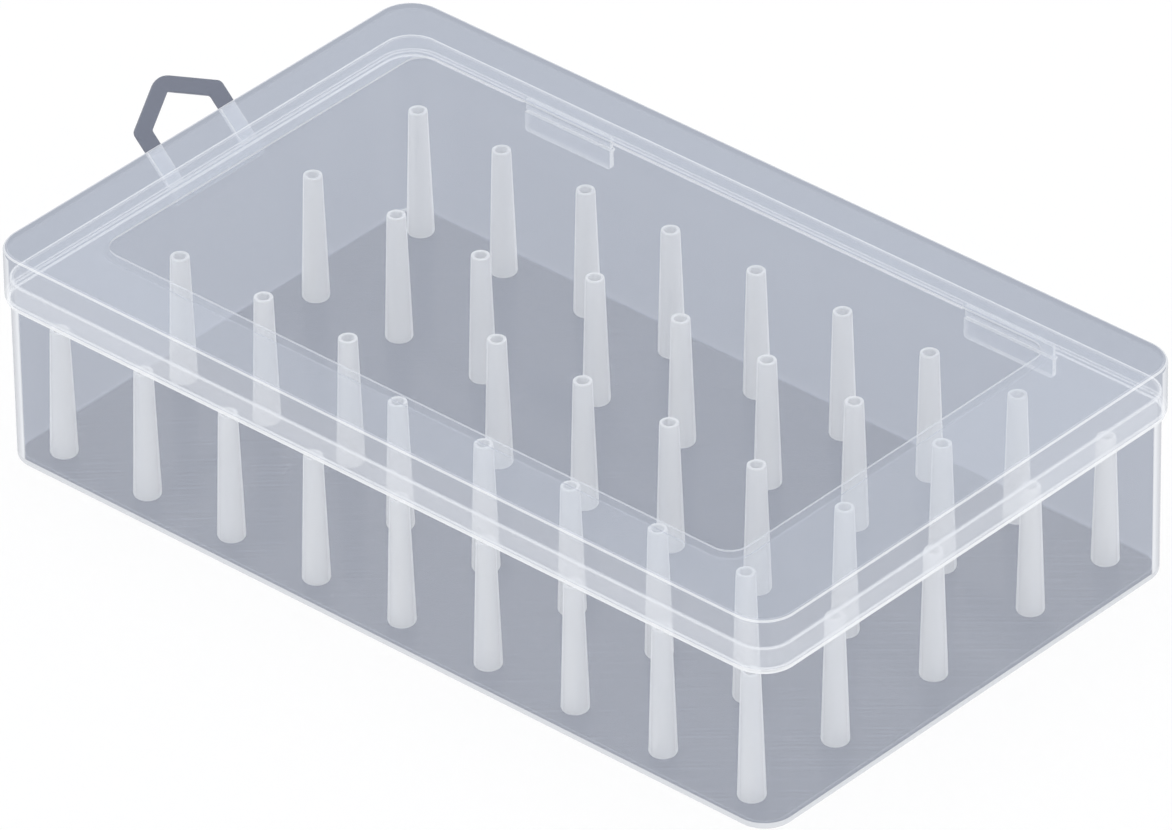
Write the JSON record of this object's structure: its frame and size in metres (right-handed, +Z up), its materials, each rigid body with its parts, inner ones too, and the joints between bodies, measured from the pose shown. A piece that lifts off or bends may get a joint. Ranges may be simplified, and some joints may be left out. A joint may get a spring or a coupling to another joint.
{
  "type": "thread spool storage box",
  "caption": "Clear plastic storage box with a hinged lid, rows of tapered hollow posts that hold thread spools upright, and a fold-out hanging loop at one end.",
  "frame": {"origin": "the middle of the tray's underside, on the surface that the box stands on", "axes": "+X along the length, away from the hanging loop; +Y across the width, towards the lid's hinge; +Z up"},
  "size_m": [0.2956, 0.1669, 0.0685],
  "materials": {
    "tray_plastic": "translucent moulded polypropylene, smooth",
    "lid_plastic": "translucent moulded polypropylene, smooth",
    "post_plastic": "whiter translucent polypropylene, smooth",
    "hinge_plastic": "translucent moulded polypropylene, smooth",
    "loop_plastic": "translucent moulded polypropylene, smooth"
  },
  "bodies": {
    "tray": {"base_tray": "tray_plastic", "loop_anchor": "hinge_plastic", "hinge_leaf_left": "hinge_plastic", "hinge_leaf_right": "hinge_plastic", "post_1_1": "post_plastic", "post_1_2": "post_plastic", "post_1_3": "post_plastic", "post_1_4": "post_plastic", "post_2_1": "post_plastic", "post_2_2": "post_plastic", "post_2_3": "post_plastic", "post_2_4": "post_plastic", "post_3_1": "post_plastic", "post_3_2": "post_plastic", "post_3_3": "post_plastic", "post_3_4": "post_plastic", "post_4_1": "post_plastic", "post_4_2": "post_plastic", "post_4_3": "post_plastic", "post_4_4": "post_plastic", "post_4_5": "post_plastic", "post_5_1": "post_plastic", "post_5_2": "post_plastic", "post_5_3": "post_plastic", "post_5_4": "post_plastic", "post_5_5": "post_plastic", "post_6_1": "post_plastic", "post_6_2": "post_plastic", "post_6_3": "post_plastic", "post_6_4": "post_plastic", "post_6_5": "post_plastic", "post_7_1": "post_plastic", "post_7_2": "post_plastic", "post_7_3": "post_plastic", "post_7_4": "post_plastic", "post_7_5": "post_plastic", "post_8_1": "post_plastic", "post_8_2": "post_plastic", "post_8_3": "post_plastic", "post_8_4": "post_plastic", "post_8_5": "post_plastic", "post_9_1": "post_plastic", "post_9_2": "post_plastic", "post_9_3": "post_plastic", "post_9_4": "post_plastic", "post_9_5": "post_plastic"},
    "lid": {"lid_cover": "lid_plastic", "hinge_strap_left": "hinge_plastic", "hinge_strap_right": "hinge_plastic"},
    "loop": {"hanging_loop": "loop_plastic"}
  },
  "joints": [
    {"name": "lid_hinge", "type": "hinge", "parent": "tray", "child": "lid", "pos_m": [0, 0.0833, 0.047], "axis": [-1, 0, 0], "range_deg": [0, 180]},
    {"name": "loop_fold", "type": "hinge", "parent": "tray", "child": "loop", "pos_m": [-0.13825, 0.006, 0.0485], "axis": [0, 1, 0], "range_deg": [-135, 43]}
  ]
}
